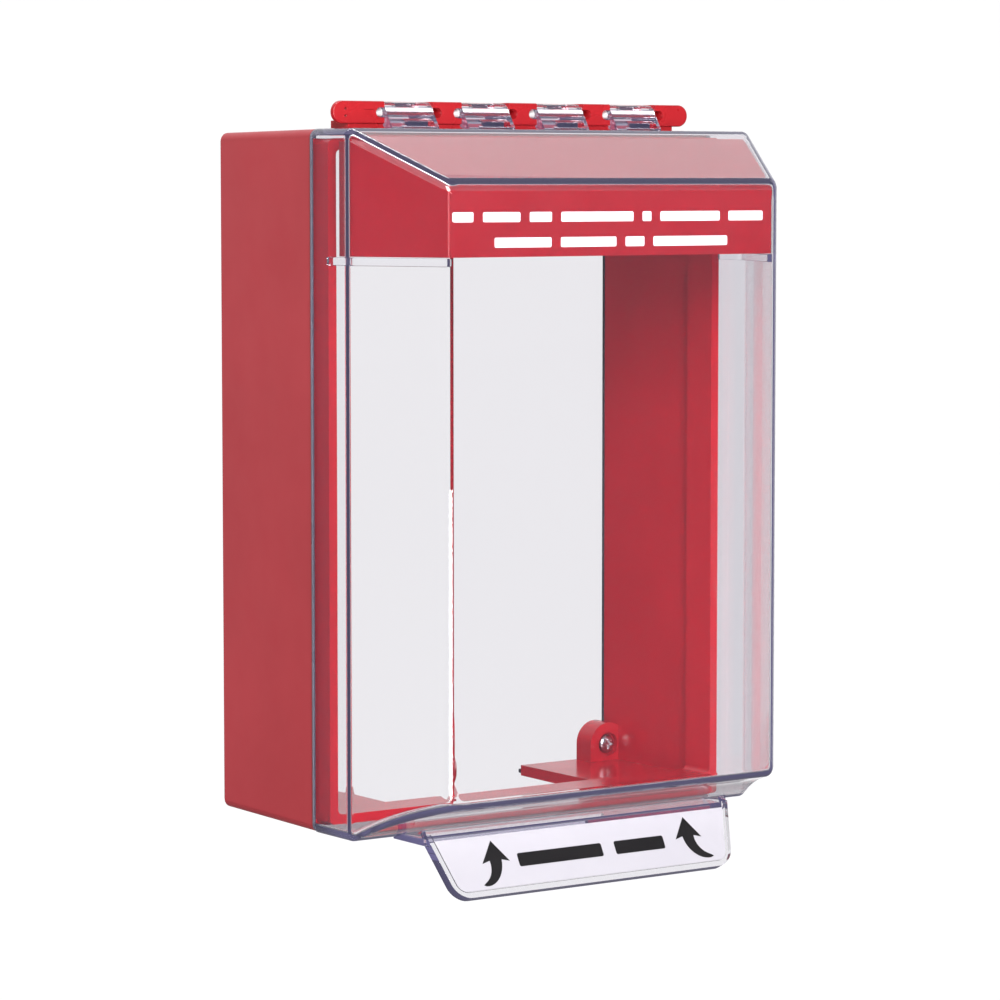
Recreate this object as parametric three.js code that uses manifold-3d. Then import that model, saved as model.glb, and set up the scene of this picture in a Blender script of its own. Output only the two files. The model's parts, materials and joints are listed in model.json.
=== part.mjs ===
// Lift-up protective cover for a wall-mounted manual call point.
// A deep red housing with an open back stands on the wall. A clear domed cover hangs from a hinge on
// its top edge, and a labelled tab below the dome lifts it.
// Units are millimetres. X runs to the right, Z up, and the wall is the plane Y = 0, so that every
// piece lies in front of it, at negative Y. The origin is the middle of the housing's back.

import * as THREE from 'three';
import { mergeVertices } from 'three/addons/utils/BufferGeometryUtils.js';
import Module from 'manifold-3d';

const wasm = await Module();
wasm.setup();

// ---------------------------------------------------------------- driving dimensions

const GAP = 0.3;                    // running or seating gap between neighbouring pieces
const FAR = 400;                    // longer than the whole object, for cutting tools
const OVER = 5;                     // how far a hollow's tool stands past what it hollows

const housing = {
  width: 183.8, height: 259,        // outside, at the wall
  draft: 0.011,                     // growth of each side per millimetre away from the wall
  depth: 66.3,                      // wall to the step that the cover stops at
  wall: 2.5,
  corner: 3.2,                      // corner radius seen from the front
};

const lip = {
  halfWidth: 89.4, halfHeight: 126.3, // outside of the collar that the cover closes over
  front: -76.5, back: -61,
  wall: 3.5, corner: 2, footFlare: 2,
};

const gasket = { thickness: 1.5, inset: 0.9 };

const cover = {
  halfWidth: 93.5, halfHeight: 130.4, // outside of the straight skirt
  wall: 3,
  rear: -66.7,                        // free edge, just ahead of the housing's step
  shoulder: -91.5,                    // the walls start to taper here
  front: -132,
  frontHalfWidth: 75.4, frontTop: 110.8, frontBottom: -115.5,
  corner: 3.5, edge: 3,               // radii of the corners and of the front face's edges
};

const hinge = {
  axisY: -62.6, axisZ: 136.6,
  barHeight: 8.4, barLength: 165,
  faceY: -66.8,                       // flat front of the knuckles
  stripFront: -58, stripBack: -53.9,  // continuous strip behind the lugs
  plate: 2.2, bevel: 0.7,             // front plate, and the bevel round its front edge
  knuckleHalf: 73,                    // past this the bar is only its front plate
  footHalf: 75.5, footFront: -65.5, footZ: 130.6, footTop: 133.6,
  lugs: 4, lugPitch: 34.8, lugOffset: 3.3, lugWidth: 21.2, lugRadius: 4,
  lugFootFront: -71.2, lugFootRear: -66.9,
  slotPlay: 0.4,                      // between a lug and the knuckle beside it
  pinRadius: 1.5, pinReach: 2.9,      // the pins stand out of both sides of a lug
  pinHole: 1.9, socketDepth: 1.8,
};

// On the first knuckle: a shallow moulded slot, and a pair of small holes through the front plate.
const mark = { x: -66.6, halfWidth: 2, halfHeight: 1.1, depth: 0.8 };
const plateHole = { x: -77, spread: 1.3, radius: 0.55 };

const tab = {
  topY: -106.7, topZ: -126,
  tilt: 27.4,                         // degrees from vertical, leaning forward at its foot
  length: 28.2, topHalfWidth: 71.2, bottomHalfWidth: 63.7,
  corner: 6, plate: 2.8, rim: 2.2, rimHeight: 1.1,
  shelfBack: -88, shelfBottom: -131.7, shelfTop: -129.2, web: 2.4,
};

const label = {
  bottom: 83.9, rear: -85.2, film: 0.4,
  belowTop: 4.8,                      // straight down from the dome's sloping top to the film under it
  ledge: 3, ledgeDepth: 2.4, ledgeFreeHalf: 68,
};

const boss = {
  x: 84.4, z: 118.7,                  // the four wall screws, mirrored left to right and top to bottom
  radius: 9, front: -11.5,
  hole: 2.3, counterbore: 4.8, counterboreDepth: 2.5,
  drill: 30,                          // how far the holes' tools reach, short of the collar
};

const floor = {
  padTop: -125.3,                     // raised floor on both sides of the cable cut-out
  cutOutHalf: 47.4, cutOutFront: -58.5,
};

const wallScrew = { shank: 1.95, head: 3.75, headHeight: 2.4, short: 0.5 };
const railScrew = {
  shank: 1.5, head: 2.9, headHeight: 2, hole: 1.85,
  reach: 137.4,                       // height that the screws' points come to
  y: -55.95, lastShift: -4,
};

// ---------------------------------------------------------------- materials

const plastic = (color, roughness) => new THREE.MeshStandardMaterial({ color, roughness, metalness: 0 });

const matteRed = plastic(0xa84850, 0.55);
const glossRed = plastic(0xc22a32, 0.25);
const labelRed = plastic(0xc22a32, 0.4);
const labelWhite = plastic(0xebe8f0, 0.4);
const pinWhite = plastic(0xf2f2f0, 0.35);
const foamBlack = plastic(0x222226, 0.95);
const steel = new THREE.MeshStandardMaterial({ color: 0xc8c8cc, roughness: 0.25, metalness: 1 });
const clear = new THREE.MeshStandardMaterial({
  color: 0xf2f6f8, roughness: 0.05, metalness: 0, transparent: true, opacity: 0.3,
});

// ---------------------------------------------------------------- solids

function solid(geometry) {
  const bare = geometry.clone();
  bare.deleteAttribute('normal');
  bare.deleteAttribute('uv');
  const merged = mergeVertices(bare, 1e-4);
  return new wasm.Manifold(new wasm.Mesh({
    numProp: 3,
    vertProperties: new Float32Array(merged.attributes.position.array),
    triVerts: new Uint32Array(merged.index.array),
  }));
}

function geometryOf(body) {
  const mesh = body.getMesh();
  const geometry = new THREE.BufferGeometry();
  geometry.setAttribute('position', new THREE.BufferAttribute(mesh.vertProperties, 3));
  geometry.setIndex(new THREE.BufferAttribute(mesh.triVerts, 1));
  geometry.computeVertexNormals();
  return geometry;
}

// A box between two opposite corners.
function block(x0, y0, z0, x1, y1, z1) {
  const geometry = new THREE.BoxGeometry(x1 - x0, y1 - y0, z1 - z0);
  geometry.translate((x0 + x1) / 2, (y0 + y1) / 2, (z0 + z1) / 2);
  return solid(geometry);
}

// A round bar along X, Y or Z, given its middle.
function bar(axis, radius, length, x, y, z, sides = 24) {
  const geometry = new THREE.CylinderGeometry(radius, radius, length, sides);
  if (axis === 'x') geometry.rotateZ(Math.PI / 2);
  if (axis === 'z') geometry.rotateX(Math.PI / 2);
  geometry.translate(x, y, z);
  return solid(geometry);
}

const shapeOf = (points) => new THREE.Shape(points.map((p) => new THREE.Vector2(...p)));

// A shape in the YZ plane, pushed along X.
function prismX(shape, x0, x1) {
  const options = { depth: x1 - x0, bevelEnabled: false, curveSegments: 10 };
  const geometry = new THREE.ExtrudeGeometry(shape, options);
  geometry.rotateZ(Math.PI / 2);
  geometry.rotateY(Math.PI / 2);
  geometry.translate(x0, 0, 0);
  return solid(geometry);
}

// One rounded rectangle in the plane y, as a closed loop of points that runs the same way every time.
function rectangleLoop(y, halfWidth, bottom, top, radius, cornerSteps = 5) {
  const corners = [
    [halfWidth - radius, top - radius, 0],
    [radius - halfWidth, top - radius, 90],
    [radius - halfWidth, bottom + radius, 180],
    [halfWidth - radius, bottom + radius, 270],
  ];
  return corners.flatMap(([x, z, start]) => Array.from({ length: cornerSteps + 1 }, (_, step) => {
    const angle = THREE.MathUtils.degToRad(start + 90 * step / cornerSteps);
    return new THREE.Vector3(x + radius * Math.cos(angle), y, z + radius * Math.sin(angle));
  }));
}

// A closed body through a row of loops that step towards the front.
function loft(loops) {
  const count = loops[0].length;
  const index = [];
  for (let row = 0; row + 1 < loops.length; row += 1) {
    for (let i = 0; i < count; i += 1) {
      const a = row * count + i;
      const b = row * count + (i + 1) % count;
      index.push(a, b, a + count, b, b + count, a + count);
    }
  }
  const last = (loops.length - 1) * count;
  for (let i = 1; i + 1 < count; i += 1) {
    index.push(0, i + 1, i);
    index.push(last, last + i, last + i + 1);
  }
  const geometry = new THREE.BufferGeometry().setFromPoints(loops.flat());
  geometry.setIndex(index);
  return solid(geometry);
}

const group = new THREE.Group();

function add(name, body, material) {
  const mesh = new THREE.Mesh(body instanceof THREE.BufferGeometry ? body : geometryOf(body), material);
  mesh.name = name;
  group.add(mesh);
  return mesh;
}

const fourCorners = [[-1, -1], [1, -1], [-1, 1], [1, 1]];

// ---------------------------------------------------------------- housing

// The drafted outside of the housing at a depth, or a surface inset from it.
function housingLoop(y, inset) {
  const grow = -y * housing.draft - inset;
  return rectangleLoop(
    y,
    housing.width / 2 + grow,
    -housing.height / 2 - grow,
    housing.height / 2 + grow,
    Math.max(housing.corner - inset, 1),
  );
}

function lipLoop(y, inset) {
  const halfHeight = lip.halfHeight - inset;
  return rectangleLoop(y, lip.halfWidth - inset, -halfHeight, halfHeight, lip.corner);
}

function housingBody() {
  const back = -gasket.thickness - GAP;
  const shell = loft([housingLoop(back, 0), housingLoop(-housing.depth, 0)]);
  const collar = loft([lipLoop(lip.back, 0), lipLoop(lip.front, 0)]);
  const roomFront = housing.wall - housing.depth;
  const room = loft([housingLoop(OVER, housing.wall), housingLoop(roomFront, housing.wall)]);
  const throat = loft([lipLoop(lip.back + OVER, lip.wall), lipLoop(lip.front - OVER, lip.wall)]);
  const collarFoot = loft([lipLoop(lip.back, -lip.footFlare), lipLoop(1 - housing.depth, -lip.footFlare)])
    .intersect(shell);

  // Raised floor on both sides of the cut-out, and one boss in each corner.
  let fittings = block(-FAR, lip.back, -FAR, FAR, back, floor.padTop);
  for (const [sx, sz] of fourCorners) {
    const x = sx * boss.x;
    const z = sz * boss.z;
    fittings = fittings.add(bar('y', boss.radius, back - boss.front, x, (back + boss.front) / 2, z, 32));
    fittings = fittings.add(block(
      Math.min(x - boss.radius, x + boss.radius), boss.front, Math.min(z, sz * FAR),
      Math.max(x - boss.radius, x + boss.radius), back, Math.max(z, sz * FAR),
    ));
  }

  let body = shell.subtract(room).add(collar).add(collarFoot).add(fittings.intersect(shell)).subtract(throat);
  for (const [sx, sz] of fourCorners) {
    const x = sx * boss.x;
    const z = sz * boss.z;
    const seat = boss.front + boss.counterboreDepth;
    body = body.subtract(bar('y', boss.hole, 2 * boss.drill, x, 0, z, 20));
    body = body.subtract(bar('y', boss.counterbore, boss.drill, x, seat - boss.drill / 2, z, 28));
  }
  // Cable cut-out through the floor, open to the wall.
  body = body.subtract(block(
    -floor.cutOutHalf, floor.cutOutFront, -FAR,
    floor.cutOutHalf, OVER, floor.padTop + 1,
  ));
  for (const x of railScrewPlaces()) {
    body = body.subtract(bar('z', railScrew.hole, boss.drill, x, railScrew.y, housing.height / 2, 16));
  }
  return body;
}

function gasketBody() {
  const back = 0;
  const front = -gasket.thickness;
  const outside = loft([housingLoop(back, gasket.inset), housingLoop(front, gasket.inset)]);
  const inside = loft([housingLoop(back + OVER, housing.wall), housingLoop(front - OVER, housing.wall)]);
  const cutOut = block(-floor.cutOutHalf, front - OVER, -FAR, floor.cutOutHalf, back + OVER, floor.padTop);
  return outside.subtract(inside).subtract(cutOut);
}

// ---------------------------------------------------------------- hinge

function lugCentres() {
  const middle = (hinge.lugs - 1) / 2;
  return Array.from({ length: hinge.lugs }, (_, i) => hinge.lugOffset + (i - middle) * hinge.lugPitch);
}

// The rail is screwed on under its middle knuckle and under the knuckle at each end.
function railScrewPlaces() {
  const centres = lugCentres();
  const last = centres[centres.length - 1];
  return [
    centres[0] - hinge.lugPitch / 2,
    (centres[0] + last) / 2,
    last + hinge.lugPitch / 2 + railScrew.lastShift,
  ];
}

// A bar of knuckles on a continuous strip and foot. The lugs turn in the slots between the knuckles.
function railBody() {
  const half = hinge.barHeight / 2;
  const reach = hinge.barLength / 2 - half;
  const stadium = new THREE.Shape();
  stadium.absarc(reach, 0, half, -Math.PI / 2, Math.PI / 2);
  stadium.absarc(-reach, 0, half, Math.PI / 2, 3 * Math.PI / 2);
  const bevel = hinge.bevel;
  const rounded = new THREE.ExtrudeGeometry(stadium, {
    depth: hinge.stripFront - hinge.faceY - bevel,
    bevelThickness: bevel,
    bevelSize: bevel,
    bevelOffset: -bevel,
    bevelSegments: 2,
    curveSegments: 8,
  });
  rounded.rotateX(Math.PI / 2);
  rounded.translate(0, hinge.stripFront + GAP, hinge.axisZ);
  const plateBack = hinge.faceY + hinge.plate;
  const { knuckleHalf, footHalf } = hinge;
  const strip = block(
    -knuckleHalf, hinge.stripFront, hinge.footZ,
    knuckleHalf, hinge.stripBack, hinge.axisZ + half,
  );
  const foot = block(
    -footHalf, hinge.footFront, hinge.footZ,
    footHalf, hinge.stripBack, hinge.footTop,
  );
  let body = solid(rounded)
    .subtract(block(-FAR, plateBack, -FAR, -knuckleHalf, OVER, FAR))
    .subtract(block(knuckleHalf, plateBack, -FAR, FAR, OVER, FAR))
    .add(foot);
  const slot = hinge.lugWidth / 2 + hinge.slotPlay;
  for (const x of lugCentres()) {
    body = body.subtract(block(x - slot, -FAR, -FAR, x + slot, hinge.stripFront, FAR));
  }
  body = body.add(strip);
  // Sockets for the pins, open to the front so that each pin snaps in.
  for (const x of lugCentres()) {
    const reach = slot + hinge.socketDepth;
    const length = 2 * (reach + hinge.pinHole);
    body = body.subtract(bar('x', hinge.pinHole, length, x, hinge.axisY, hinge.axisZ, 20));
    body = body.subtract(block(
      x - reach, -FAR, hinge.axisZ - hinge.pinHole,
      x + reach, hinge.axisY, hinge.axisZ + hinge.pinHole,
    ));
    for (const end of [x - reach, x + reach]) {
      body = body.subtract(bar('y', hinge.pinHole, FAR, end, hinge.axisY - FAR / 2, hinge.axisZ, 20));
    }
  }
  body = body.subtract(block(
    mark.x - mark.halfWidth, hinge.faceY - OVER, hinge.axisZ - mark.halfHeight,
    mark.x + mark.halfWidth, hinge.faceY + mark.depth, hinge.axisZ + mark.halfHeight,
  ));
  for (const side of [-1, 1]) {
    const z = hinge.axisZ + side * plateHole.spread;
    body = body.subtract(bar('y', plateHole.radius, 3 * hinge.plate, plateHole.x, hinge.faceY, z, 12));
  }
  const screwTop = railScrew.reach + GAP;
  for (const x of railScrewPlaces()) {
    body = body.subtract(bar('z', railScrew.hole, FAR, x, railScrew.y, screwTop - FAR / 2, 16));
  }
  return body;
}

// A clear loop that stands on the cover's top edge and turns round its pin.
function lugBody(x) {
  const { axisY, axisZ, lugRadius } = hinge;
  const foot = cover.halfHeight + GAP;
  const front = [hinge.lugFootFront, foot];
  const rear = [hinge.lugFootRear, foot];
  // Angle at which the straight line from a point touches the round part.
  const touch = ([y, z], side) => {
    const distance = Math.hypot(y - axisY, z - axisZ);
    return Math.atan2(z - axisZ, y - axisY) + side * Math.acos(lugRadius / distance);
  };
  const shape = new THREE.Shape();
  shape.moveTo(...rear);
  shape.lineTo(...front);
  shape.absarc(axisY, axisZ, lugRadius, touch(front, -1), touch(rear, 1), true);
  shape.closePath();
  const body = prismX(shape, x - hinge.lugWidth / 2, x + hinge.lugWidth / 2);
  return body.subtract(bar('x', hinge.pinRadius + GAP, hinge.lugWidth + 4, x, axisY, axisZ, 20));
}

// Round pin with ball ends, along X.
function pinGeometry(x) {
  const r = hinge.pinRadius;
  const straight = hinge.lugWidth / 2 + hinge.pinReach - r;
  const profile = [];
  const steps = 5;
  for (let i = 0; i <= steps; i += 1) {
    const angle = Math.PI / 2 * (1 - i / steps);
    profile.push(new THREE.Vector2(r * Math.cos(angle), -straight - r * Math.sin(angle)));
  }
  for (let i = 0; i <= steps; i += 1) {
    const angle = Math.PI / 2 * i / steps;
    profile.push(new THREE.Vector2(r * Math.cos(angle), straight + r * Math.sin(angle)));
  }
  profile[0].x = 0;
  profile[profile.length - 1].x = 0;
  const geometry = new THREE.LatheGeometry(profile, 16);
  geometry.rotateZ(-Math.PI / 2);
  geometry.translate(x, hinge.axisY, hinge.axisZ);
  return geometry;
}

// ---------------------------------------------------------------- clear cover

// The walls bend from here to the first of the stations along the taper.
const bendStart = cover.shoulder + 1;
const taperStations = [0.05, 0.15, 0.32, 0.55, 0.8];
const depthAt = (t) => THREE.MathUtils.lerp(cover.shoulder, cover.front, t);

// How far the taper has come at a depth: 0 on the skirt, 1 at the front face.
const taper = (y) => THREE.MathUtils.clamp((cover.shoulder - y) / (cover.shoulder - cover.front), 0, 1);

// The bottom climbs steeply behind the tab and then levels out towards the front.
const bottomClimb = (t) => 1.55 * t - 0.75 * t * t + 0.2 * t * t * t;

function coverLoop(y, inset, round = 0) {
  const t = taper(y);
  const shrink = inset + round;
  return rectangleLoop(
    y,
    THREE.MathUtils.lerp(cover.halfWidth, cover.frontHalfWidth, t) - shrink,
    THREE.MathUtils.lerp(-cover.halfHeight, cover.frontBottom, bottomClimb(t)) + shrink,
    THREE.MathUtils.lerp(cover.halfHeight, cover.frontTop, t) - shrink,
    Math.max(cover.corner - inset, 1),
  );
}

// Radius of the front face's edges on a surface inset from the outside.
const frontEdge = (inset) => Math.max(cover.edge - inset, 0.8);

// Outside of the dome, or a surface that is inset from it. Its front edges are rounded.
function dome(inset, rear) {
  const front = cover.front + inset;
  const edge = frontEdge(inset);
  const loops = [coverLoop(rear, inset), coverLoop(bendStart, inset)];
  for (const t of taperStations) loops.push(coverLoop(depthAt(t), inset));
  for (const angle of [0, 30, 60, 90]) {
    const radians = THREE.MathUtils.degToRad(angle);
    loops.push(coverLoop(front + edge * (1 - Math.sin(radians)), inset, edge * (1 - Math.cos(radians))));
  }
  return loft(loops);
}

// Outline of the tab in its own plane: x across, y upwards from the tab's top edge.
function tabOutline(inset, top) {
  const slope = (tab.topHalfWidth - tab.bottomHalfWidth) / tab.length;
  const halfAt = (y) => tab.topHalfWidth + slope * y - inset;
  const bottom = inset - tab.length;
  const r = Math.max(tab.corner - inset, 0.8);
  const shape = new THREE.Shape();
  shape.moveTo(-halfAt(top), top);
  shape.lineTo(-halfAt(bottom + r), bottom + r);
  shape.quadraticCurveTo(-halfAt(bottom), bottom, r - halfAt(bottom), bottom);
  shape.lineTo(halfAt(bottom) - r, bottom);
  shape.quadraticCurveTo(halfAt(bottom), bottom, halfAt(bottom + r), bottom + r);
  shape.lineTo(halfAt(top), top);
  shape.closePath();
  return shape;
}

// A slice of the tab's outline between two heights above its back face, set at the tab's tilt.
function tabSlice(shape, low, high) {
  const options = { depth: high - low, bevelEnabled: false, curveSegments: 6 };
  const geometry = new THREE.ExtrudeGeometry(shape, options);
  geometry.translate(0, 0, low - tab.plate);
  geometry.rotateX(THREE.MathUtils.degToRad(90 - tab.tilt));
  geometry.translate(0, tab.topY, tab.topZ);
  return solid(geometry);
}

function tabBody() {
  const plate = tabSlice(tabOutline(0, 0), 0, tab.plate);
  const rim = tabSlice(tabOutline(0, -2), tab.plate - 0.5, tab.plate + tab.rimHeight)
    .subtract(tabSlice(tabOutline(tab.rim, 5), tab.plate - 1, tab.plate + tab.rimHeight + 1));
  const shelf = block(
    -tab.topHalfWidth, tab.topY - 1.5, tab.shelfBottom,
    tab.topHalfWidth, tab.shelfBack, tab.shelfTop,
  );
  const webOutline = [
    [tab.shelfBack, tab.shelfBottom], [tab.topY - 1.5, tab.shelfBottom],
    [tab.topY, tab.topZ], [tab.shelfBack, tab.shelfTop],
  ];
  const body = plate.add(rim).add(shelf);
  return [-tab.topHalfWidth, tab.topHalfWidth - tab.web]
    .reduce((sum, x) => sum.add(prismX(shapeOf(webOutline), x, x + tab.web)), body);
}

function coverBody() {
  const hollow = dome(cover.wall, cover.rear + OVER);
  const walls = dome(0, cover.rear).subtract(hollow);
  // A ledge inside each side wall carries the label's lower edge.
  const ledges = dome(cover.wall - 0.2, lip.front - GAP)
    .subtract(dome(cover.wall + label.ledgeDepth, cover.rear + OVER))
    .intersect(block(-FAR, -FAR, label.bottom - GAP - label.ledge, FAR, FAR, label.bottom - GAP))
    .subtract(block(-label.ledgeFreeHalf, -FAR, -FAR, label.ledgeFreeHalf, FAR, FAR));
  return walls.add(ledges).add(tabBody().subtract(hollow));
}

// ---------------------------------------------------------------- labels

// Seen from above, the right half of a line that runs forward inside the wall and round its corner.
function filmLine(inset) {
  const front = cover.front + inset;
  const edge = frontEdge(inset);
  const sideAt = (y) => THREE.MathUtils.lerp(cover.halfWidth, cover.frontHalfWidth, taper(y)) - inset;
  const corner = [0, 30, 60, 90].map((degrees) => {
    const angle = THREE.MathUtils.degToRad(degrees);
    const y = front + edge * (1 - Math.sin(angle));
    return [sideAt(y) - edge * (1 - Math.cos(angle)), y];
  });
  const straight = [label.rear, bendStart, depthAt(taperStations[0])].map((y) => [sideAt(y), y]);
  return [...straight, ...corner];
}

const mirrored = (line) => line.map(([x, y]) => [-x, y]);
const backwards = (line) => [...line].reverse();

// Pushes a plan outline straight up from the film's lower edge.
function risePlan(plan) {
  const options = { depth: cover.halfHeight - label.bottom, bevelEnabled: false };
  const geometry = new THREE.ExtrudeGeometry(shapeOf(plan), options);
  geometry.translate(0, 0, label.bottom);
  return solid(geometry);
}

// A printed insert of folded film: a front, two sides and a top under the dome's sloping top.
function warningLabelBody() {
  const outer = filmLine(cover.wall + GAP);
  const inner = filmLine(cover.wall + GAP + label.film);
  const filled = [...outer, ...backwards(mirrored(outer))];
  const walls = risePlan([...filled, ...mirrored(inner), ...backwards(inner)]);
  const slopeAt = (drop) => [
    [OVER, cover.halfHeight - drop], [bendStart, cover.halfHeight - drop],
    [cover.front, cover.frontTop - drop], [-FAR, cover.frontTop - drop],
  ];
  const beyond = (drop, end) => prismX(shapeOf([...slopeAt(drop), [-FAR, end], [OVER, end]]), -FAR, FAR);
  const top = risePlan(filled).subtract(beyond(label.belowTop + label.film, -FAR));
  return walls.add(top).subtract(beyond(label.belowTop, FAR));
}

function tabLabelBody() {
  const low = tab.plate + GAP;
  return tabSlice(tabOutline(tab.rim + 0.5, -5), low, low + label.film);
}

// ---------------------------------------------------------------- screws

// Pan-head screw with a cross recess. It points along -Y before it is turned.
function screwBody(shank, head, headHeight, length) {
  const points = [[0, -length], [shank, -length], [shank, 0], [head, 0], [head, headHeight * 0.35]];
  for (let i = 1; i <= 4; i += 1) {
    const angle = Math.PI / 2 * i / 4;
    points.push([head * Math.cos(angle), headHeight * (0.35 + 0.65 * Math.sin(angle))]);
  }
  points[points.length - 1][0] = 0;
  let body = solid(new THREE.LatheGeometry(points.map((p) => new THREE.Vector2(...p)), 20));
  const arm = head * 0.55;
  const thin = head * 0.14;
  body = body.subtract(block(-arm, headHeight * 0.45, -thin, arm, headHeight * 2, thin));
  return body.subtract(block(-thin, headHeight * 0.45, -arm, thin, headHeight * 2, arm));
}

// ---------------------------------------------------------------- the assembly

add('housing', housingBody(), matteRed);
add('back_gasket', gasketBody(), foamBlack);
add('hinge_rail', railBody(), glossRed);
add('cover_shell', coverBody(), clear);
add('warning_label', warningLabelBody(), labelRed);
add('tab_label', tabLabelBody(), labelWhite);

lugCentres().forEach((x, i) => {
  add(`hinge_lug_${i + 1}`, lugBody(x), clear);
  add(`hinge_pin_${i + 1}`, pinGeometry(x), pinWhite);
});

// The wall screws are drawn to just short of the wall.
const seat = boss.front + boss.counterboreDepth - GAP;
fourCorners.forEach(([sx, sz]) => {
  const name = `wall_screw_${sz < 0 ? 'bottom' : 'top'}_${sx < 0 ? 'left' : 'right'}`;
  const { shank, head, headHeight } = wallScrew;
  const mesh = add(name, screwBody(shank, head, headHeight, -seat - wallScrew.short), steel);
  mesh.rotation.x = Math.PI;
  mesh.position.set(sx * boss.x, seat, sz * boss.z);
});

const roof = housing.height / 2 - railScrew.y * housing.draft - housing.wall - GAP;
railScrewPlaces().forEach((x, i) => {
  const mesh = add(
    `rail_screw_${i + 1}`,
    screwBody(railScrew.shank, railScrew.head, railScrew.headHeight, railScrew.reach - roof),
    steel,
  );
  mesh.rotation.x = -Math.PI / 2;
  mesh.position.set(x, railScrew.y, roof);
});

export default group;
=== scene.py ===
"""Visual model of a lift-up protective cover for a wall-mounted manual call point.

Everything is in metres in the CAD model's own frame: X to the right, Z up, the wall at Y = 0 and
the cover facing -Y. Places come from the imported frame, and the sizes below are those of the
mouldings' finer shape.
"""

import json
import math

import bmesh
import bpy
from mathutils import Matrix, Vector


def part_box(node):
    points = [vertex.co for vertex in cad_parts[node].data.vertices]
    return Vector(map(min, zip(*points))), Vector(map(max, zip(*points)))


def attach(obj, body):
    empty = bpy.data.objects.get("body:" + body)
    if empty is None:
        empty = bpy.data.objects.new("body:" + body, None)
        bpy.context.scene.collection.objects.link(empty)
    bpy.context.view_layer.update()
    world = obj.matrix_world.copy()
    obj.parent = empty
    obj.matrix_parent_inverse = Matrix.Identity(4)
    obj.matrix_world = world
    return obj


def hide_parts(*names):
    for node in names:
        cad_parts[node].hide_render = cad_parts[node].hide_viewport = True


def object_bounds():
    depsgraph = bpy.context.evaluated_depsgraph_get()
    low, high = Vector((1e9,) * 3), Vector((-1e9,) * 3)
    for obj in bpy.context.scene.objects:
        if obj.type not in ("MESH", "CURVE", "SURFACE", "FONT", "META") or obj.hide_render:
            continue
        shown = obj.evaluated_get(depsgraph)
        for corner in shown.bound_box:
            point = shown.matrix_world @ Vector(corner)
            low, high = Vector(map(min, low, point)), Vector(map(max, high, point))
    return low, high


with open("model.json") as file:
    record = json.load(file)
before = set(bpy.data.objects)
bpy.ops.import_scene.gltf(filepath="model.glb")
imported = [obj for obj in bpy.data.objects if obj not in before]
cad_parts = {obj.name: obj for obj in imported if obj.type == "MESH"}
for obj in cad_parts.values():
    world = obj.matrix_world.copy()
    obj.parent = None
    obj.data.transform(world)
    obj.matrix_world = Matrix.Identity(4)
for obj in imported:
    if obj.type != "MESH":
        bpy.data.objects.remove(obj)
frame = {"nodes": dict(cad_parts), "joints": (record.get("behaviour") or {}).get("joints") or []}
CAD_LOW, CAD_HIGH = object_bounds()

MM = 0.001

SHELL_LOW, SHELL_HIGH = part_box("cover_shell")
HOUSING_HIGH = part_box("housing")[1]
HINGE = frame["joints"][0]
COVER_BODY = "cover"
HOUSING_BODY = "housing_body"

# ---------------------------------------------------------------- sizes of the clear cover

WALL = 3.0 * MM
CORNER = 3.5 * MM                      # of the skirt and the tapering walls, seen from the front
HALF_WIDTH = SHELL_HIGH.x
HALF_HEIGHT = SHELL_HIGH.z
REAR = SHELL_HIGH.y
FRONT = SHELL_LOW.y
SHOULDER = REAR - 24.8 * MM            # the walls start to taper here
SHOULDER_BLEND = 1.0 * MM              # the bend takes this much on both sides of the shoulder
FRONT_HALF_WIDTH = HALF_WIDTH - 18.1 * MM
FRONT_TOP = HALF_HEIGHT - 19.6 * MM
FRONT_BOTTOM = 14.9 * MM - HALF_HEIGHT
EDGE_ROUND = 3.6 * MM                  # of the front face's edges
INNER_ROUND = 0.6 * MM                 # the least that they have inside
RIM_ROUND = 1.4 * MM                   # of the skirt's free edge
CORNER_STEPS = 8
SHOULDER_STEPS = 6
WALL_STEPS = 14
EDGE_STEPS = 6

LABEL_GAP = 0.3 * MM                   # between the label and the cover
LEDGE_HEIGHT = 3.0 * MM
LEDGE_REACH = 2.3 * MM                 # how far the label's ledge stands out of the side wall
LEDGE_ROOT = 0.4 * MM                  # how far it starts inside the wall
LEDGE_REAR = REAR - 10.5 * MM

TAB_TOP = Vector((0, REAR - 40.0 * MM, 4.4 * MM - HALF_HEIGHT))
TAB_TILT = math.radians(27.4)
TAB_LENGTH = 28.0 * MM
TAB_TOP_HALF = 71.0 * MM
TAB_BOTTOM_HALF = 63.6 * MM
TAB_CORNER = 6.0 * MM
TAB_PLATE = 2.8 * MM
TAB_RIM = 2.2 * MM
TAB_RIM_HEIGHT = 1.0 * MM
TAB_RIM_TOP = -2.5 * MM                # the rim starts this far down the tab
TAB_BEVEL = 0.45 * MM
OVERLAP = 0.5 * MM                     # how far joined shapes reach into each other
SHELF_BACK = REAR - 21.5 * MM
SHELF_LAP = 1.5 * MM                   # how far the shelf reaches in front of the tab's top
SHELF_BOTTOM = -1.2 * MM - HALF_HEIGHT
SHELF_TOP = 1.1 * MM - HALF_HEIGHT
WEB = 2.4 * MM
WEB_LAP = 1.2 * MM                     # how far a web's foot reaches in front of the tab's top
WEB_PLAY = 0.2 * MM                    # keeps the webs' faces off those of the tab and shelf

# ---------------------------------------------------------------- mesh helpers


def new_object(name, mesh):
    piece = bpy.data.objects.new(name, mesh)
    bpy.context.scene.collection.objects.link(piece)
    return piece


def mesh_from(name, vertices, faces):
    mesh = bpy.data.meshes.new(name)
    mesh.from_pydata([tuple(v) for v in vertices], [], faces)
    mesh.update()
    return new_object(name, mesh)


def face_outward(piece):
    work = bmesh.new()
    work.from_mesh(piece.data)
    bmesh.ops.recalc_face_normals(work, faces=work.faces)
    work.to_mesh(piece.data)
    work.free()
    return piece


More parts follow.
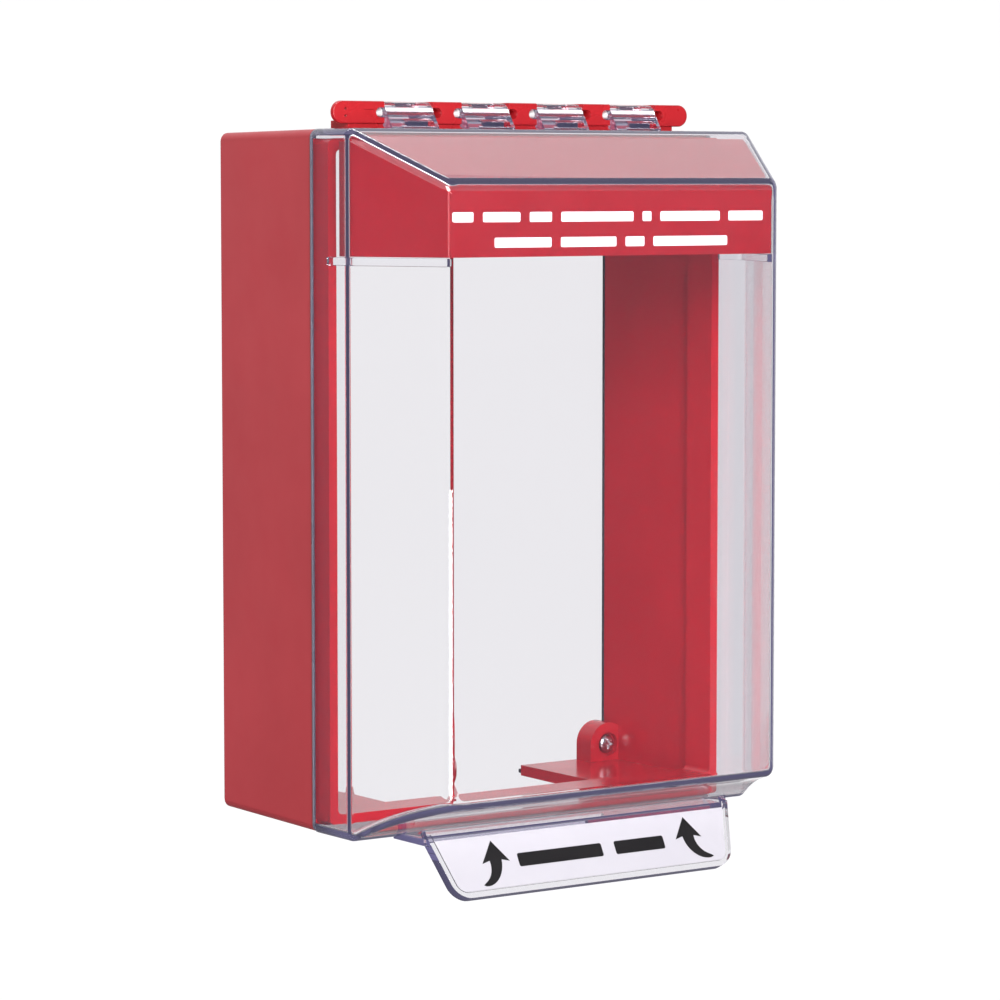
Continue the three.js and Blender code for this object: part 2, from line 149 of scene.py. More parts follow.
def apply_modifiers(piece):
    """Bakes the piece's modifiers into its mesh."""
    graph = bpy.context.evaluated_depsgraph_get()
    mesh = bpy.data.meshes.new_from_object(piece.evaluated_get(graph))
    old = piece.data
    piece.modifiers.clear()
    piece.data = mesh
    bpy.data.meshes.remove(old)
    return piece


def boolean(piece, tool, operation):
    """Joins the tool to the piece or cuts it away, and removes the tool."""
    change = piece.modifiers.new("change", "BOOLEAN")
    change.operation = operation
    change.solver = "EXACT"
    change.object = tool
    apply_modifiers(piece)
    bpy.data.objects.remove(tool)
    return piece


def bevel(piece, width, segments, angle):
    rounding = piece.modifiers.new("bevel", "BEVEL")
    rounding.width = width
    rounding.segments = segments
    rounding.limit_method = "ANGLE"
    rounding.angle_limit = math.radians(angle)
    rounding.use_clamp_overlap = True
    return apply_modifiers(piece)


def smooth(piece, angle):
    """Smooth shading that keeps large flat faces flat."""
    piece.data.shade_smooth()
    piece.data.set_sharp_from_angle(angle=math.radians(angle))
    even = piece.modifiers.new("even", "WEIGHTED_NORMAL")
    even.keep_sharp = True
    even.weight = 100


def flat_faces(piece):
    """Merges the triangles of each flat face into one face."""
    merge = piece.modifiers.new("flat", "DECIMATE")
    merge.decimate_type = "DISSOLVE"
    merge.angle_limit = math.radians(0.5)
    return apply_modifiers(piece)


def box_piece(name, low, high):
    mesh = bpy.data.meshes.new(name)
    work = bmesh.new()
    bmesh.ops.create_cube(work, size=1)
    size = [high[i] - low[i] for i in range(3)]
    middle = [(high[i] + low[i]) / 2 for i in range(3)]
    bmesh.ops.scale(work, vec=size, verts=work.verts)
    bmesh.ops.translate(work, vec=middle, verts=work.verts)
    work.to_mesh(mesh)
    work.free()
    return new_object(name, mesh)


def prism(name, outline, depth, place):
    """An outline of (x, y) points in its own plane, pushed along its own z, then put in place."""
    count = len(outline)
    points = [place @ Vector((x, y, z)) for z in (0, depth) for x, y in outline]
    sides = [(i, (i + 1) % count, count + (i + 1) % count, count + i) for i in range(count)]
    faces = [tuple(range(count))[::-1], tuple(range(count, 2 * count))] + sides
    return face_outward(mesh_from(name, points, faces))


def revolve(name, profile, segments):
    """A profile of (radius, height) points turned about the frame's Z."""
    vertices = []
    rings = []
    for radius, height in profile:
        if radius == 0:
            rings.append([len(vertices)] * segments)
            vertices.append(Vector((0, 0, height)))
            continue
        rings.append(list(range(len(vertices), len(vertices) + segments)))
        for step in range(segments):
            turn = 2 * math.pi * step / segments
            vertices.append(Vector((radius * math.cos(turn), radius * math.sin(turn), height)))
    faces = []
    for low, high in zip(rings, rings[1:]):
        for i in range(segments):
            j = (i + 1) % segments
            face = []
            for index in (low[i], low[j], high[j], high[i]):
                if index not in face:
                    face.append(index)
            if len(face) > 2:
                faces.append(tuple(face))
    return face_outward(mesh_from(name, vertices, faces))


# ---------------------------------------------------------------- materials


def material(name):
    made = bpy.data.materials.new(name)
    made.use_nodes = True
    nodes = made.node_tree.nodes
    return made, nodes, made.node_tree.links, nodes["Principled BSDF"]


def noise(nodes, links, scale, detail):
    """Noise in each piece's own metres, so it moves with the piece."""
    place = nodes.new("ShaderNodeTexCoord")
    texture = nodes.new("ShaderNodeTexNoise")
    texture.inputs["Scale"].default_value = scale
    texture.inputs["Detail"].default_value = detail
    texture.inputs["Roughness"].default_value = 0.55
    links.new(place.outputs["Object"], texture.inputs["Vector"])
    return texture.outputs["Fac"]


def ramp(nodes, links, value, stops):
    """stops: (position, grey or colour)."""
    made = nodes.new("ShaderNodeValToRGB")
    elements = made.color_ramp.elements
    while len(elements) < len(stops):
        elements.new(0.5)
    for element, (position, colour) in zip(elements, stops):
        element.position = position
        element.color = (*colour, 1) if isinstance(colour, tuple) else (colour, colour, colour, 1)
    links.new(value, made.inputs["Fac"])
    return made.outputs["Color"]


def bump(nodes, links, shader, value, distance, strength):
    made = nodes.new("ShaderNodeBump")
    made.inputs["Distance"].default_value = distance
    made.inputs["Strength"].default_value = strength
    links.new(value, made.inputs["Height"])
    links.new(made.outputs["Normal"], shader.inputs["Normal"])


def plastic(name, dark, light, roughness, grain, depth, strength):
    """Moulded opaque plastic with a fine grain and faint colour and gloss variation."""
    made, nodes, links, shader = material(name)
    patches = noise(nodes, links, 18, detail=4)
    tones = ramp(nodes, links, patches, [(0.35, dark), (0.65, light)])
    links.new(tones, shader.inputs["Base Color"])
    gloss = noise(nodes, links, 55, detail=2)
    spread = [(0.3, roughness * 0.85), (0.7, roughness * 1.15)]
    links.new(ramp(nodes, links, gloss, spread), shader.inputs["Roughness"])
    bump(nodes, links, shader, noise(nodes, links, grain, detail=2), depth, strength)
    return made


def clear_plastic():
    """Polished polycarbonate. Lamps shine through it, and a painted lilac glow inside it stands in
    for the light that runs along it.
    """
    made, nodes, links, shader = material("clear_polycarbonate")
    shader.inputs["Base Color"].default_value = (0.925, 0.915, 0.925, 1)
    shader.inputs["Transmission Weight"].default_value = 1.0
    shader.inputs["IOR"].default_value = 1.58
    wear = noise(nodes, links, 40, detail=5)
    links.new(ramp(nodes, links, wear, [(0.6, 0.0), (0.95, 0.02)]), shader.inputs["Roughness"])
    bump(nodes, links, shader, noise(nodes, links, 9, detail=1), 0.15 * MM, 0.12)
    output = nodes["Material Output"]
    let_lamps_through(nodes, links, shader, output)
    absorb_and_paint_lilac_glow(nodes, links, output)
    return made


def let_lamps_through(nodes, links, shader, output):
    path = nodes.new("ShaderNodeLightPath")
    open_to_lamps = nodes.new("ShaderNodeBsdfTransparent")
    open_to_lamps.inputs["Color"].default_value = (0.84, 0.83, 0.85, 1)
    either = nodes.new("ShaderNodeMixShader")
    links.new(path.outputs["Is Shadow Ray"], either.inputs["Fac"])
    links.new(shader.outputs["BSDF"], either.inputs[1])
    links.new(open_to_lamps.outputs["BSDF"], either.inputs[2])
    links.new(either.outputs["Shader"], output.inputs["Surface"])


def absorb_and_paint_lilac_glow(nodes, links, output):
    """Takes some light away along a path inside the plastic, and adds a painted lilac glow, an
    emission that stands in for the light seen along the plastic's edges.
    """
    depth = nodes.new("ShaderNodeVolumeAbsorption")
    depth.inputs["Color"].default_value = (0.36, 0.33, 0.48, 1)
    depth.inputs["Density"].default_value = 28.0
    # painted glow: a lilac emission inside the plastic, standing in for the light seen along its
    # edges
    glow = nodes.new("ShaderNodeEmission")
    glow.inputs["Color"].default_value = (0.58, 0.54, 1.0, 1)
    glow.inputs["Strength"].default_value = 6.0
    both = nodes.new("ShaderNodeAddShader")
    links.new(depth.outputs["Volume"], both.inputs[0])
    links.new(glow.outputs["Emission"], both.inputs[1])
    links.new(both.outputs["Shader"], output.inputs["Volume"])


def screw_metal():
    made, nodes, links, shader = material("plated_steel")
    shader.inputs["Metallic"].default_value = 1.0
    patches = noise(nodes, links, 300, detail=4)
    tones = [(0.3, (0.55, 0.55, 0.57)), (0.7, (0.78, 0.78, 0.80))]
    links.new(ramp(nodes, links, patches, tones), shader.inputs["Base Color"])
    links.new(ramp(nodes, links, patches, [(0.3, 0.16), (0.7, 0.3)]), shader.inputs["Roughness"])
    bump(nodes, links, shader, noise(nodes, links, 900, detail=2), 0.02 * MM, 0.3)
    return made


HOUSING_RED = plastic(
    "housing_red", (0.405, 0.026, 0.036), (0.445, 0.031, 0.042),
    roughness=0.42, grain=2600, depth=0.03 * MM, strength=0.25,
)
HOUSING_INSIDE = plastic(
    "housing_inside", (0.390, 0.005, 0.010), (0.430, 0.007, 0.013),
    roughness=0.2, grain=400, depth=0.03 * MM, strength=0.06,
)
RAIL_RED = plastic(
    "rail_red", (0.430, 0.012, 0.018), (0.470, 0.016, 0.022),
    roughness=0.28, grain=900, depth=0.03 * MM, strength=0.15,
)
LABEL_RED = plastic(
    "label_red", (0.280, 0.003, 0.007), (0.300, 0.004, 0.009),
    roughness=0.45, grain=900, depth=0.02 * MM, strength=0.04,
)
LABEL_WHITE = plastic(
    "label_white", (0.58, 0.56, 0.61), (0.62, 0.60, 0.64),
    roughness=0.45, grain=1500, depth=0.02 * MM, strength=0.15,
)
PRINT_WHITE = plastic(
    "print_white", (0.86, 0.86, 0.86), (0.92, 0.92, 0.92),
    roughness=0.5, grain=1500, depth=0.02 * MM, strength=0.15,
)
PRINT_BLACK = plastic(
    "print_black", (0.008, 0.007, 0.008), (0.014, 0.012, 0.013),
    roughness=0.45, grain=1500, depth=0.02 * MM, strength=0.15,
)
PIN_WHITE = plastic(
    "pin_white", (0.80, 0.80, 0.79), (0.88, 0.88, 0.87),
    roughness=0.3, grain=1200, depth=0.02 * MM, strength=0.2,
)
FOAM = plastic(
    "gasket_foam", (0.012, 0.012, 0.014), (0.03, 0.03, 0.033),
    roughness=0.9, grain=1800, depth=0.3 * MM, strength=0.8,
)
CLEAR = clear_plastic()
# painted shade: an opaque dark blue-grey for the skirt's free edge, standing in for the dark line
# seen along the rim
RIM_PAINTED_SHADE = plastic(
    "rim_painted_shade", (0.075, 0.072, 0.095), (0.105, 0.100, 0.130),
    roughness=0.3, grain=1500, depth=0.02 * MM, strength=0.15,
)
STEEL = screw_metal()


def finish_piece(piece, look, slot, body, *nodes):
    """Gives a piece its look and its body, and puts it in place of the CAD nodes."""
    piece.data.materials.clear()
    piece.data.materials.append(look)
    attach(piece, body)
    if nodes:
        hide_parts(*nodes)
    return piece


# ---------------------------------------------------------------- clear cover


def taper(y):
    """0 on the straight skirt, 1 at the front face, with a rounded shoulder between."""
    along = SHOULDER - y
    length = SHOULDER - FRONT
    if along <= -SHOULDER_BLEND:
        return 0.0
    if along < SHOULDER_BLEND:
        return (along + SHOULDER_BLEND) ** 2 / (4 * SHOULDER_BLEND * length)
    return along / length


def bottom_climb(t):
    """The dome's bottom climbs steeply at first and then levels out towards the front."""
    return 1.55 * t - 0.75 * t * t + 0.2 * t ** 3


def mix(a, b, t):
    return a + (b - a) * t


def half_at(y, inset):
    return mix(HALF_WIDTH, FRONT_HALF_WIDTH, taper(y)) - inset


def cover_loop(y, inset, shrink=0.0):
    """A rounded rectangle round the dome at a depth, inset from the outside and shrunk more."""
    t = taper(y)
    half = half_at(y, inset + shrink)
    top = mix(HALF_HEIGHT, FRONT_TOP, t) - inset - shrink
    bottom = mix(-HALF_HEIGHT, FRONT_BOTTOM, bottom_climb(t)) + inset + shrink
    r = max(CORNER - inset, 1.0 * MM)
    corners = [
        (half - r, top - r, 0), (r - half, top - r, 90),
        (r - half, bottom + r, 180), (half - r, bottom + r, 270),
    ]
    loop = []
    for x, z, start in corners:
        for step in range(CORNER_STEPS + 1):
            angle = math.radians(start + 90 * step / CORNER_STEPS)
            loop.append(Vector((x + r * math.cos(angle), y, z + r * math.sin(angle))))
    return loop


def dome_loops(inset, rear):
    """Loops from the rear to the front face, whose edges are rounded."""
    front = FRONT + inset
    edge = max(EDGE_ROUND - inset, INNER_ROUND)
    stations = [rear, SHOULDER + SHOULDER_BLEND + 1 * MM]
    for step in range(SHOULDER_STEPS + 1):
        stations.append(SHOULDER + SHOULDER_BLEND * (1 - 2 * step / SHOULDER_STEPS))
    last = front + edge
    start = SHOULDER - SHOULDER_BLEND
    stations += [mix(start, last, step / WALL_STEPS) for step in range(1, WALL_STEPS)]
    loops = [cover_loop(y, inset) for y in stations]
    for step in range(EDGE_STEPS + 1):
        angle = math.radians(90 * step / EDGE_STEPS)
        depth = front + edge * (1 - math.sin(angle))
        loops.append(cover_loop(depth, inset, edge * (1 - math.cos(angle))))
    return loops


def rim_loops():
    """Loops round the rounded free edge, from the outside of the wall to its inside."""
    turns = [math.radians(30 * step) for step in (1, 2, 3)]
    rounded = [(1 - math.sin(turn), 1 - math.cos(turn)) for turn in turns]
    outer = [cover_loop(REAR - RIM_ROUND * back, RIM_ROUND * side) for back, side in rounded]
    inner = [cover_loop(REAR - RIM_ROUND * back, WALL - RIM_ROUND * side) for back, side in rounded]
    return outer + inner[::-1]


def dome_shell():
    """One closed skin: from the front face back over the outside, round the rim and in again."""
    outside = dome_loops(0, REAR - RIM_ROUND)
    inside = dome_loops(WALL, REAR - RIM_ROUND)
    loops = outside[::-1] + rim_loops() + inside
    count = len(loops[0])
    vertices = [v for loop in loops for v in loop]
    faces = []
    for first in range(0, len(vertices) - count, count):
        for i in range(count):
            j = (i + 1) % count
            faces.append((first + i, first + j, first + count + j, first + count + i))
    faces.append(tuple(range(len(vertices) - count, len(vertices))))
    faces.append(tuple(range(count)))
    return face_outward(mesh_from("cover_dome", vertices, faces))


def side_ledge(side):
    """The ledge inside a side wall, just under the label."""
    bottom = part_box("warning_label")[0].z - LABEL_GAP - LEDGE_HEIGHT
    bend = [SHOULDER + 3 * MM, SHOULDER, SHOULDER - 3 * MM]
    stations = [LEDGE_REAR, *bend, FRONT + WALL + 0.5 * MM]
    wall_side = [(side * half_at(y, WALL - LEDGE_ROOT), y) for y in stations]
    free_side = [(side * half_at(y, WALL + LEDGE_REACH), y) for y in reversed(stations)]
    place = Matrix.Translation((0, 0, bottom))
    ledge = prism("ledge", wall_side + free_side, LEDGE_HEIGHT, place)
    return bevel(ledge, 0.35 * MM, 2, 50)


def tab_place(height):
    """The tab's own plane at a height above its back: x across, y up the plate, z out of it."""
    turn = Matrix.Rotation(math.pi / 2 - TAB_TILT, 4, "X")
    return Matrix.Translation(TAB_TOP) @ turn @ Matrix.Translation((0, 0, height - TAB_PLATE))


def tab_outline(inset, top):
    """The tab's outline up to the height top, inset from its sides and foot."""
    slope = (TAB_TOP_HALF - TAB_BOTTOM_HALF) / TAB_LENGTH
    bottom = inset - TAB_LENGTH
    r = max(TAB_CORNER - inset, 1.5 * MM)
    half = TAB_TOP_HALF + slope * bottom - inset
    right = [(TAB_TOP_HALF + slope * top - inset, top)]
    for step in range(9):
        angle = math.radians(90 * step / 8)
        shift = slope * (r - r * math.sin(angle))
        right.append((half - r + r * math.cos(angle) + shift, bottom + r - r * math.sin(angle)))
    return right + [(-x, y) for x, y in reversed(right)]


def tab_web(side):
    """The upright web at one end of the shelf."""
    outline = [
        (SHELF_BACK, SHELF_BOTTOM + WEB_PLAY), (TAB_TOP.y - WEB_LAP, SHELF_BOTTOM + WEB_PLAY),
        (TAB_TOP.y - WEB_PLAY, TAB_TOP.z - 0.3 * MM), (SHELF_BACK, SHELF_TOP + WEB_PLAY),
    ]
    left = side * (TAB_TOP_HALF - WEB_PLAY) - (WEB if side > 0 else 0)
    across = Matrix(((0, 0, 1, left), (1, 0, 0, 0), (0, 1, 0, 0), (0, 0, 0, 1)))
    return prism("web", outline, WEB, across)


def tab_rim():
    height = TAB_RIM_HEIGHT + OVERLAP
    rim = prism("tab_rim", tab_outline(0, TAB_RIM_TOP), height, tab_place(TAB_PLATE - OVERLAP))
    inner = tab_outline(TAB_RIM, 5 * MM)
    hollow = prism("tab_hollow", inner, 4 * MM, tab_place(TAB_PLATE - 2 * OVERLAP))
    return boolean(rim, hollow, "DIFFERENCE")


def lift_tab():
    """A tilted plate with a raised rim, joined to the dome by a shelf and two webs."""
    plate = prism("tab_plate", tab_outline(0, 0), TAB_PLATE, tab_place(0))
    plate = boolean(plate, tab_rim(), "UNION")
    low = (-TAB_TOP_HALF, TAB_TOP.y - SHELF_LAP, SHELF_BOTTOM)
    shelf = box_piece("shelf", low, (TAB_TOP_HALF, SHELF_BACK, SHELF_TOP))
    plate = boolean(plate, shelf, "UNION")
    for side in (-1, 1):
        plate = boolean(plate, tab_web(side), "UNION")
    return bevel(flat_faces(plate), TAB_BEVEL, 3, 30)


def make_cover():
    """The clear moulding. Its free edge gets an opaque dark material, painted shade for the dark
    line seen along the rim.
    """
    cover = dome_shell()
    for side in (-1, 1):
        cover = boolean(cover, side_ledge(side), "UNION")
    cover = boolean(cover, lift_tab(), "UNION")
    cover.name = "cover_moulding"
    smooth(cover, 30)
    finish_piece(cover, CLEAR, "clear_plastic", COVER_BODY, "cover_shell")
    cover.data.materials.append(RIM_PAINTED_SHADE)
    # the faces of the free edge get the painted-shade material
    for face in cover.data.polygons:
        face.material_index = 1 if face.center.y > REAR - RIM_ROUND else 0


make_cover()

# ---------------------------------------------------------------- CAD pieces with finer edges

OUTER_LAYER = 2.2 * MM                 # faces this close to the housing's outside are textured

POCKET_ENDS = (-5.5 * MM, 4.5 * MM)    # of a lug's pocket, across it from its middle
POCKET_ROOF = 0.7 * MM                 # left over the pocket
PIN_CLEARANCE = 1.9 * MM               # from the hinge's axis up to the pocket's floor
POCKET_BACK = 1.4 * MM                 # from the hinge's axis towards the wall
WINDOW_LEFT = -4.0 * MM                # start of a lug's window, from the lug's middle
WINDOW_FRAME = 1.6 * MM                # left beside the window at its right
WINDOW_SILL = 0.9 * MM                 # left under the window
WINDOW_HEIGHT = 2.0 * MM
WINDOW_BACK = -3.0 * MM                # from the hinge's axis towards the front


def refined(node, look, slot, body, angle, width=0, segments=2):
    """A copy of a CAD piece with its flat faces merged and its edges rounded by width."""
    piece = new_object(node + "_moulding", frame["nodes"][node].data.copy())
    weld = piece.modifiers.new("weld", "WELD")
    weld.merge_threshold = 0.005 * MM
    apply_modifiers(piece)
    flat_faces(piece)
    if width:
        bevel(piece, width, segments, angle)
    smooth(piece, angle)
    return finish_piece(piece, look, slot, body, node)


def make_housing():
    """Textured outside and polished inside, as the mould leaves it."""
    width = 0.35 * MM
    housing = refined("housing", HOUSING_RED, "housing_red", HOUSING_BODY, 40, width, segments=3)
    housing.data.materials.append(HOUSING_INSIDE)
    side = HOUSING_HIGH.x - OUTER_LAYER
    roof = HOUSING_HIGH.z - OUTER_LAYER
    for face in housing.data.polygons:
        outside = abs(face.center.x) > side or abs(face.center.z) > roof
        face.material_index = 0 if outside else 1


def make_gasket():
    refined("back_gasket", FOAM, "gasket_foam", HOUSING_BODY, angle=40, width=0.25 * MM)


def make_rail():
    refined("hinge_rail", RAIL_RED, "rail_red", HOUSING_BODY, angle=40, width=0.2 * MM)


def lug_cuts(low, high):
    """Corner pairs of the boxes that are cut out of a lug with these corners."""
    middle = (low.x + high.x) / 2
    axis = Vector(HINGE["pos_m"])
    sill = low.z + WINDOW_SILL
    pocket_low = (middle + POCKET_ENDS[0], low.y, axis.z + PIN_CLEARANCE)
    pocket_high = (middle + POCKET_ENDS[1], axis.y + POCKET_BACK, high.z - POCKET_ROOF)
    window_low = (middle + WINDOW_LEFT, low.y - 1 * MM, sill)
    window_high = (high.x - WINDOW_FRAME, axis.y + WINDOW_BACK, sill + WINDOW_HEIGHT)
    return (pocket_low, pocket_high), (window_low, window_high)


def make_lug(node):
    """A clear loop with a moulder's pocket in its top and a window in its foot."""
    lug = new_object(node + "_moulding", frame["nodes"][node].data.copy())
    flat_faces(lug)
    for corners in lug_cuts(*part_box(node)):
        lug = boolean(lug, box_piece("cut", *corners), "DIFFERENCE")
    bevel(flat_faces(lug), 0.25 * MM, 3, 35)
    smooth(lug, 35)
    finish_piece(lug, CLEAR, "clear_plastic", COVER_BODY, node)


def make_lugs_pins_and_screws():
    for name in frame["nodes"]:
        if name.startswith("hinge_lug"):
            make_lug(name)
        if name.startswith("hinge_pin"):
            refined(name, PIN_WHITE, "pin_white", COVER_BODY, angle=40)
        if "screw" in name:
            refined(name, STEEL, "screw_steel", HOUSING_BODY, angle=40, width=0.08 * MM)


make_housing()
make_gasket()
make_rail()
make_lugs_pins_and_screws()

# ---------------------------------------------------------------- labels

PRINT = 0.06 * MM                      # thickness of a print
LABEL_FACE = FRONT + WALL + LABEL_GAP

# Each line's middle above the label's lower edge, its two ends, and its bars' relative lengths.
LABEL_LINES = [
    (14.4 * MM, -72.0 * MM, 69.0 * MM, (1, 2, 1.2, 4, 0.5, 3.4, 2)),
    (5.2 * MM, -54.5 * MM, 52.0 * MM, (2.9, 2.9, 1, 4)),
]
LABEL_BAR = 3.6 * MM                   # height of a bar
LABEL_SPACE = 4.2 * MM                 # between two bars
BAR_STEPS = 6                          # in each rounded corner of a bar

TAB_PRINT_LIFT = 0.72 * MM             # from the tab's plate up to its prints
TAB_BAR_LOW, TAB_BAR_HIGH = -18.4 * MM, -13.2 * MM


def rounded_bar(x0, x1, y0, y1, radius):
    """Outline of a flat bar with rounded corners."""
    outline = []
    for x, y, start in ((x1, y1, 0), (x0, y1, 90), (x0, y0, 180), (x1, y0, 270)):
        cx = x - radius if x == x1 else x + radius
        cy = y - radius if y == y1 else y + radius
        for step in range(BAR_STEPS + 1):
            angle = math.radians(start + 90 * step / BAR_STEPS)
            outline.append((cx + radius * math.cos(angle), cy + radius * math.sin(angle)))
    return outline


def bars_between(x0, x1, lengths, space):
    """Ends of bars of the given relative lengths that fill a line, a space apart."""
    unit = (x1 - x0 - space * (len(lengths) - 1)) / sum(lengths)
    ends = []
    for length in lengths:
        ends.append((x0, x0 + length * unit))
        x0 += length * unit + space
    return ends


def join(name, pieces):
    """Joins separate flat prints into one piece."""
    work = bmesh.new()
    for piece in pieces:
        work.from_mesh(piece.data)
        bpy.data.objects.remove(piece)
    mesh = bpy.data.meshes.new(name)
    work.to_mesh(mesh)
    work.free()
    return new_object(name, mesh)


def make_warning_label():
    refined("warning_label", LABEL_RED, "label_red", COVER_BODY, angle=30)
    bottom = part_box("warning_label")[0].z
    depth = LABEL_FACE + 0.02 * MM
    front = Matrix(((1, 0, 0, 0), (0, 0, -1, depth), (0, 1, 0, bottom), (0, 0, 0, 1)))
    bars = []
    for middle, x0, x1, lengths in LABEL_LINES:
        low = middle - LABEL_BAR / 2
        high = middle + LABEL_BAR / 2
        for start, end in bars_between(x0, x1, lengths, LABEL_SPACE):
            bars.append(prism("bar", rounded_bar(start, end, low, high, 0.6 * MM), PRINT, front))
    finish_piece(join("warning_label_bars", bars), PRINT_WHITE, "label_white", COVER_BODY)


ARROW_HEAD = (6.2 * MM, 7.6 * MM)      # half width and height
ARROW_STEM = 2.7 * MM                  # half width just under the head
ARROW_DROP = 9.0 * MM                  # from the head's foot to the tail's end
ARROW_BARB = 0.9 * MM                  # how far the head's corners hang below its foot
ARROW_STEPS = 12


def arrow_outline(tip_x, tip_y, sweep):
    """An arrow that points up the tab, with a tapering tail that bends away by sweep."""
    half, height = ARROW_HEAD
    left, right = [], []
    for step in range(ARROW_STEPS):
        turn = math.pi / 2 * step / ARROW_STEPS
        x = tip_x + sweep * (1 - math.cos(turn))
        y = tip_y - height - ARROW_DROP * math.sin(turn)
        along = Vector((sweep * math.sin(turn), -ARROW_DROP * math.cos(turn))).normalized()
        wide = ARROW_STEM * (1 - step / ARROW_STEPS) ** 0.6
        left.append((x + along.y * wide, y - along.x * wide))
        right.append((x - along.y * wide, y + along.x * wide))
    end = (tip_x + sweep, tip_y - height - ARROW_DROP)
    barb = tip_y - height - ARROW_BARB
    head = [(tip_x + half, barb), (tip_x, tip_y), (tip_x - half, barb)]
    return right[::-1] + head + left + [end]


def make_tab_label():
    refined("tab_label", LABEL_WHITE, "label_white", COVER_BODY, angle=30)
    face = tab_place(TAB_PLATE + TAB_PRINT_LIFT)
    outlines = [
        arrow_outline(-43 * MM, -7.2 * MM, -8.0 * MM),
        arrow_outline(47 * MM, -7.0 * MM, 9.5 * MM),
    ]
    for start, end in bars_between(-33 * MM, 35 * MM, (5, 3), 6 * MM):
        outlines.append(rounded_bar(start, end, TAB_BAR_LOW, TAB_BAR_HIGH, 0.8 * MM))
    prints = [prism("print", outline, PRINT, face) for outline in outlines]
    finish_piece(join("tab_label_arrows", prints), PRINT_BLACK, None, COVER_BODY)


make_warning_label()
make_tab_label()

# ---------------------------------------------------------------- floor, light and camera

AZIMUTH = math.radians(35.1)           # the camera looks this far to the right of +Y
FALL = math.radians(4.77)              # and this far down
CAMERA_LEFT = 0.75243                  # metres to the left of the object
CAMERA_AHEAD = 1.12747                 # in front of it
CAMERA_BELOW = 0.01898                 # and below the clear shell's top
LENS = 137.84                          # millimetres, on a sensor 36 millimetres wide

BACKDROP_GLOW = 0.85                   # of the stage where it is seen directly or through plastic
FRONT_GLOW = 0.03                      # what the object mirrors of it on the camera's side
FADE_START, FADE_END = 1.0, 1.8        # metres behind the object, where the mirrored glow rises

STAGE_RADIUS = 3.2
STAGE_BEND = 1.0
STAGE_HEIGHT = 3.0
STAGE_DROP = 0.45                      # from the object down to the floor


def arithmetic(nodes, links, operation, first, second):
    """A maths node's output. The second value is a number or another output."""
    made = nodes.new("ShaderNodeMath")
    made.operation = operation
    links.new(first, made.inputs[0])
    if isinstance(second, float):
        made.inputs[1].default_value = second
    else:
        links.new(second, made.inputs[1])
    return made.outputs["Value"]


def stage_material():
    """Bright where it is seen, and mirrored as a backdrop that is lit only behind the object."""
    made, nodes, links, shader = material("stage_white")
    tone = noise(nodes, links, 1.2, detail=2)
    links.new(ramp(nodes, links, tone, [(0.3, 0.19), (0.7, 0.21)]), shader.inputs["Base Color"])
    shader.inputs["Roughness"].default_value = 0.9
    shader.inputs["Specular IOR Level"].default_value = 0.1
    shader.inputs["Emission Color"].default_value = (1, 1, 1, 1)
    place = nodes.new("ShaderNodeTexCoord")
    along = nodes.new("ShaderNodeVectorMath")
    along.operation = "DOT_PRODUCT"
    along.inputs[1].default_value = (math.sin(AZIMUTH), math.cos(AZIMUTH), 0)
    links.new(place.outputs["Object"], along.inputs[0])
    fade = nodes.new("ShaderNodeMapRange")
    fade.interpolation_type = "SMOOTHSTEP"
    fade.inputs["From Min"].default_value = FADE_START
    fade.inputs["From Max"].default_value = FADE_END
    fade.inputs["To Min"].default_value = FRONT_GLOW
    fade.inputs["To Max"].default_value = BACKDROP_GLOW
    links.new(along.outputs["Value"], fade.inputs["Value"])
    path = nodes.new("ShaderNodeLightPath").outputs
    bounces = arithmetic(nodes, links, "ADD", path["Glossy Depth"], path["Diffuse Depth"])
    seen_directly = arithmetic(nodes, links, "LESS_THAN", bounces, 0.5)
    direct_glow = arithmetic(nodes, links, "MULTIPLY", seen_directly, BACKDROP_GLOW)
    strength = arithmetic(nodes, links, "MAXIMUM", fade.outputs["Result"], direct_glow)
    links.new(strength, shader.inputs["Emission Strength"])
    return made


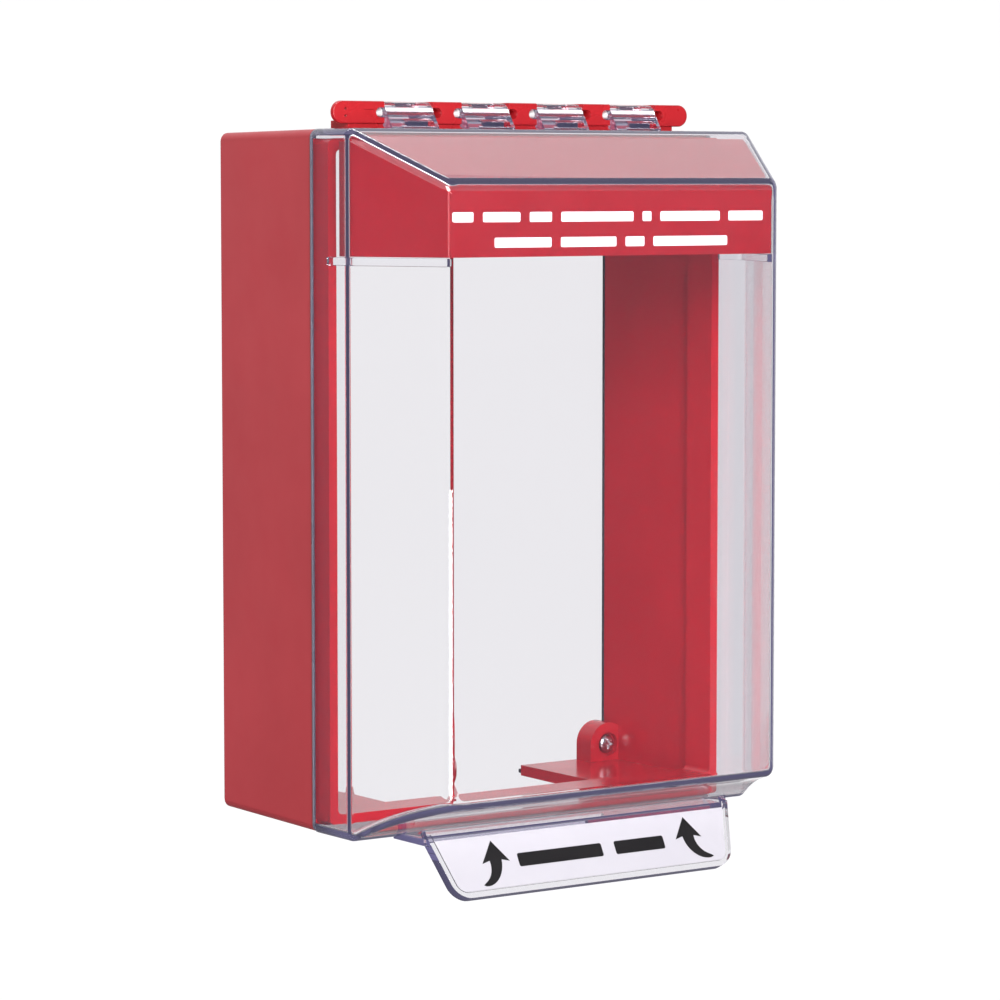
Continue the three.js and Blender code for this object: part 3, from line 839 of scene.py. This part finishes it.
def make_stage():
    """A round pale floor that curves up into a wall all the way round."""
    floor = CAD_LOW.z - STAGE_DROP
    flat = STAGE_RADIUS - STAGE_BEND
    profile = [(0, floor), (flat, floor)]
    for step in range(1, 13):
        angle = math.radians(90 * step / 12)
        out = flat + STAGE_BEND * math.sin(angle)
        profile.append((out, floor + STAGE_BEND * (1 - math.cos(angle))))
    profile.append((STAGE_RADIUS, STAGE_HEIGHT))
    stage = revolve("stage_floor", profile, 96)
    stage.data.shade_smooth()
    stage.data.materials.append(stage_material())


def area_light(name, place, size, power):
    """A rectangular lamp that shines at the frame's origin."""
    lamp = bpy.data.lights.new(name, "AREA")
    lamp.shape = "RECTANGLE"
    lamp.size, lamp.size_y = size
    lamp.energy = power
    holder = bpy.data.objects.new(name, lamp)
    bpy.context.scene.collection.objects.link(holder)
    holder.location = place
    holder.rotation_euler = (-Vector(place)).to_track_quat("-Z", "Y").to_euler()


def make_light():
    area_light("key", (-1.1, -2.0, 0.9), (1.0, 1.0), 62)
    area_light("fill", (-0.9, -1.8, -0.35), (0.6, 0.4), 16)
    area_light("top", (0.1, 0.5, 1.4), (1.2, 0.3), 10)
    world = bpy.data.worlds.new("studio")
    world.use_nodes = True
    bpy.context.scene.world = world
    sky = world.node_tree.nodes["Background"].inputs
    sky["Color"].default_value = (0.80, 0.78, 0.90, 1)
    sky["Strength"].default_value = 0.6


def make_camera():
    """Eye level near the cover's top, from the left and slightly above."""
    level = math.cos(FALL)
    look = Vector((math.sin(AZIMUTH) * level, math.cos(AZIMUTH) * level, -math.sin(FALL)))
    place = Vector((CAD_LOW.x - CAMERA_LEFT, CAD_LOW.y - CAMERA_AHEAD, HALF_HEIGHT - CAMERA_BELOW))
    lens = bpy.data.cameras.new("camera")
    lens.lens = LENS
    lens.sensor_width = 36
    lens.clip_end = 20
    holder = bpy.data.objects.new("camera", lens)
    bpy.context.scene.collection.objects.link(holder)
    holder.location = place
    holder.rotation_euler = look.to_track_quat("-Z", "Y").to_euler()
    bpy.context.scene.camera = holder


make_stage()
make_light()
make_camera()
bpy.context.scene.view_settings.view_transform = "Standard"
